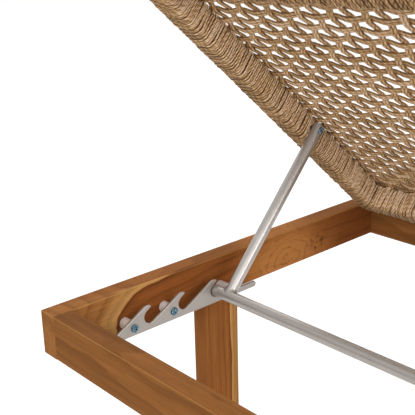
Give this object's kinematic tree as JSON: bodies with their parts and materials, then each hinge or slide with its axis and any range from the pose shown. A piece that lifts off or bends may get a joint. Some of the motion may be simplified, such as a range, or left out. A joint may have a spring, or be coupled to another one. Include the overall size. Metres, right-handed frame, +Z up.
{
  "type": "sun lounger",
  "caption": "Sun lounger with a teak frame, cord-woven seat and backrest panels, and a steel prop bar that drops into hooked ratchet plates to set the backrest.",
  "frame": {"origin": "on the floor, under the middle of the teak frame", "axes": "+X from the head end to the foot end, +Y to the left of someone lying on it, +Z up"},
  "size_m": [2, 0.7, 0.8461],
  "materials": {
    "teak": "oiled, satin",
    "cord": "twisted outdoor cord, matt",
    "stainless": "satin",
    "aluminium": "mill",
    "zinc": "bright zinc",
    "nylon": "matt"
  },
  "bodies": {
    "frame": {"side_rail_left": "teak", "side_rail_right": "teak", "head_rail": "teak", "foot_rail": "teak", "hinge_cross_rail": "teak", "seat_cross_rail": "teak", "leg_head_left": "teak", "leg_head_right": "teak", "leg_foot_left": "teak", "leg_foot_right": "teak", "leg_glides": "nylon", "hinge_bushes": "nylon", "ratchet_screws_left": "zinc", "ratchet_screws_right": "zinc", "seat_bolts": "zinc", "hinge_screws": "zinc", "ratchet_plate_left": "stainless", "ratchet_plate_right": "stainless", "ratchet_spacers_left": "stainless", "ratchet_spacers_right": "stainless", "hinge_plate_left": "stainless", "hinge_plate_right": "stainless", "seat_tube_left": "aluminium", "seat_tube_right": "aluminium", "seat_tube_head": "aluminium", "seat_tube_foot": "aluminium", "seat_wrap_left": "cord", "seat_wrap_right": "cord", "seat_wrap_head": "cord", "seat_wrap_foot": "cord", "seat_net": "cord"},
    "backrest": {"backrest_tube_left": "aluminium", "backrest_tube_right": "aluminium", "backrest_tube_top": "aluminium", "backrest_tube_low": "aluminium", "backrest_wrap_left": "cord", "backrest_wrap_right": "cord", "backrest_wrap_top": "cord", "backrest_wrap_low": "cord", "backrest_net": "cord", "hinge_bolts": "zinc", "hinge_inserts": "zinc", "pivot_screws": "zinc", "pivot_inserts": "zinc", "pivot_washers": "nylon"},
    "prop": {"prop_arm_left": "stainless", "prop_arm_right": "stainless", "prop_bar": "stainless", "prop_caps": "nylon"}
  },
  "joints": [
    {"name": "backrest_hinge", "type": "hinge", "parent": "frame", "child": "backrest", "pos_m": [-0.2637, 0, 0.355], "axis": [0, 1, 0], "range_deg": [0, 38]},
    {"name": "prop_pivot", "type": "hinge", "parent": "backrest", "child": "prop", "pos_m": [-0.47296, 0, 0.5348], "axis": [0, 1, 0], "range_deg": [-51.3, 0]}
  ],
  "couplings": [
    {"joint": "prop_pivot", "follows": "backrest_hinge", "ratio": -1.35}
  ]
}
